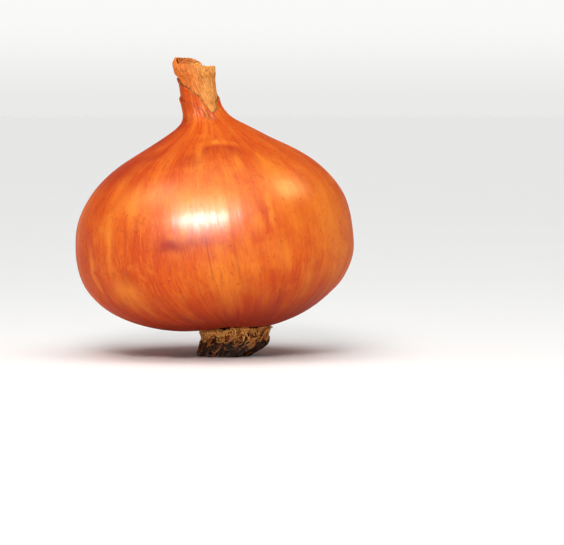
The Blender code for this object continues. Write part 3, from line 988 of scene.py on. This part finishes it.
def hanging_stub(rng, t):
    """The path of a trimmed end that hangs from the tuft's side to the resting plane."""
    start = rng.uniform(0.0, math.tau)
    angle = start + rng.uniform(-0.25, 0.25) * t
    high = rng.uniform(1.5, 4.0) * MM * (1.0 - t) ** 1.2
    return on_tuft(angle, high, rng.uniform(-1.0, 0.1) * MM + 0.4 * MM * t**2)


def flat_stub(rng, t):
    """The path of a trimmed end that lies across the flat spot."""
    turn, across = rng.uniform(0.0, math.tau), math.sqrt(rng.uniform(0.0, 1.0)) * 5.4 * MM
    bend, length = rng.uniform(-1.2, 1.2), rng.uniform(2.0, 4.5) * MM
    heading = rng.uniform(0.0, math.tau) + bend * t
    step = np.stack([np.cos(heading), np.sin(heading)], axis=-1) * length / len(t)
    flat = np.cumsum(step, axis=0) + across * np.array([math.cos(turn), math.sin(turn)])
    far = np.maximum(np.hypot(*flat.T) / (REST_WIDTH / 2 - 0.3 * MM), 1.0)
    return np.column_stack([flat / far[:, None], np.full(len(t), rng.uniform(0.15, 0.35) * MM)])


def make_stubs(material, rng):
    """Trimmed ends around and across the flat spot."""
    strands = Strands()
    count = 9
    t = np.linspace(0.0, 1.0, count)
    for k in range(TRIMMED_ENDS):
        path = hanging_stub(rng, t) if k % 2 else flat_stub(rng, t)
        strands.add(path, taper(count, rng.uniform(0.35, 0.6) * MM, 0.8), rng.uniform(0.08, 0.5))
    return strands.piece("root_ends", material)


# ---------------------------------------------------------------- studio
SKY = ((0.0, 0.82), (0.03, 0.95), (0.06, 0.95), (0.20, 0.30), (1.0, 0.20))  # sine of elevation, brightness
FLOOR_REACH = 30.0
SUN_PLACE = (0.0, -0.20, 0.60)
LAMPS = (  # name, place, width, height, watts, colour, whether it shows as a highlight only
    ("key", (-0.05, -0.64, 0.41), 0.28, 0.12, 2.6, SOFT_WHITE, False),
    ("key_gloss", (-0.12, -0.65, 0.38), 0.50, 0.20, 54.0, SOFT_WHITE, True),
    ("halo_gloss", (-0.10, -0.56, 0.50), 0.80, 0.50, 26.0, CREAM, True),
    ("left_gloss", (-0.50, -0.13, 0.72), 0.34, 0.34, 7.0, CREAM, True),
    ("right_gloss", (0.56, 0.08, 0.68), 0.30, 0.24, 10.0, WARM, True),
)
LAMPS_AIM = (0.0, 0.0, 0.04)
CAMERA_UP = math.radians(3.0)  # how far above level it looks from
CAMERA_DISTANCE = 0.90
CAMERA_AIM = (17.3 * MM, 0.0, 24.1 * MM)
VIEW_ACROSS = 163 * MM  # how much the picture shows, side to side, at the onion


def make_studio():
    make_floor()
    make_sky()
    bpy.context.scene.view_settings.view_transform = "Standard"
    overhead = bpy.data.lights.new("overhead", "SUN")
    overhead.energy, overhead.angle = 2.1, math.radians(70.0)
    hang(overhead, SUN_PLACE)
    for lamp in LAMPS:
        soft_box(*lamp)


def make_floor():
    """A pale, matt floor, far wider than the picture."""
    reach = FLOOR_REACH
    corners = [(-reach, -reach, 0), (reach, -reach, 0), (reach, reach, 0), (-reach, reach, 0)]
    mesh = bpy.data.meshes.new("floor")
    mesh.from_pydata(corners, [], [(0, 1, 2, 3)])
    floor = bpy.data.objects.new("floor", mesh)
    bpy.context.scene.collection.objects.link(floor)
    g = Graph("pale_floor", 0.9, specular=0.0)
    tone = g.noise(g.place(), scale=6.0, detail=2)
    mesh.materials.append(g.finish(g.mix(tone, (0.89, 0.89, 0.885), (0.91, 0.91, 0.905))))


def make_sky():
    """Pale studio walls all around, which fade into the floor below and a dimmer ceiling above."""
    world = bpy.data.worlds.new("studio")
    world.use_nodes = True
    nodes, links = world.node_tree.nodes, world.node_tree.links
    place = nodes.new("ShaderNodeTexCoord")
    height = nodes.new("ShaderNodeSeparateXYZ")
    level = nodes.new("ShaderNodeValToRGB")
    level.color_ramp.interpolation = "EASE"
    stops = level.color_ramp.elements
    while len(stops) < len(SKY):
        stops.new(0.5)
    for stop, (position, value) in zip(stops, SKY):
        stop.position = position
        stop.color = (value, value, 0.99 * value, 1.0)
    links.new(place.outputs["Generated"], height.inputs[0])
    links.new(height.outputs["Z"], level.inputs[0])
    links.new(level.outputs[0], nodes["Background"].inputs["Color"])
    bpy.context.scene.world = world


def hang(light, place):
    """A lamp at a place, turned to the onion."""
    lamp = bpy.data.objects.new(light.name, light)
    bpy.context.scene.collection.objects.link(lamp)
    lamp.location = place
    lamp.rotation_mode = "QUATERNION"
    lamp.rotation_quaternion = (Vector(LAMPS_AIM) - Vector(place)).to_track_quat("-Z", "Y")
    return lamp


def soft_box(name, place, width, height, watts, colour, gloss_only):
    """An oval lamp. One that is gloss_only shows as a highlight but doesn't light the onion."""
    light = bpy.data.lights.new(name, "AREA")
    light.shape = "ELLIPSE"
    light.size, light.size_y = width, height
    light.energy, light.color = watts, colour
    hang(light, place).visible_diffuse = not gloss_only


def make_camera():
    """Straight from the front, a little from above, through a long lens."""
    aim = Vector(CAMERA_AIM)
    data = bpy.data.cameras.new("camera")
    data.sensor_width = 36.0
    data.lens = data.sensor_width * CAMERA_DISTANCE / VIEW_ACROSS
    data.clip_start, data.clip_end = 0.05, 100.0
    camera = bpy.data.objects.new("camera", data)
    bpy.context.scene.collection.objects.link(camera)
    back = Vector((0.0, -math.cos(CAMERA_UP), math.sin(CAMERA_UP)))
    camera.location = aim + back * CAMERA_DISTANCE
    camera.rotation_mode = "QUATERNION"
    camera.rotation_quaternion = (-back).to_track_quat("-Z", "Y")
    bpy.context.scene.camera = camera


def main():
    rng = np.random.default_rng(5)
    skin, straw, roots = skin_material(), straw_material(), root_material()
    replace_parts(make_outer_skin(skin), "bulb")
    make_second_skin(skin)
    make_inner_sheath(straw)
    make_neck_wraps(straw)
    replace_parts(make_tuft_core(roots), "root_tuft")
    make_curls(roots, rng)
    make_fringe(roots, rng)
    make_stubs(roots, rng)
    make_studio()
    make_camera()


main()
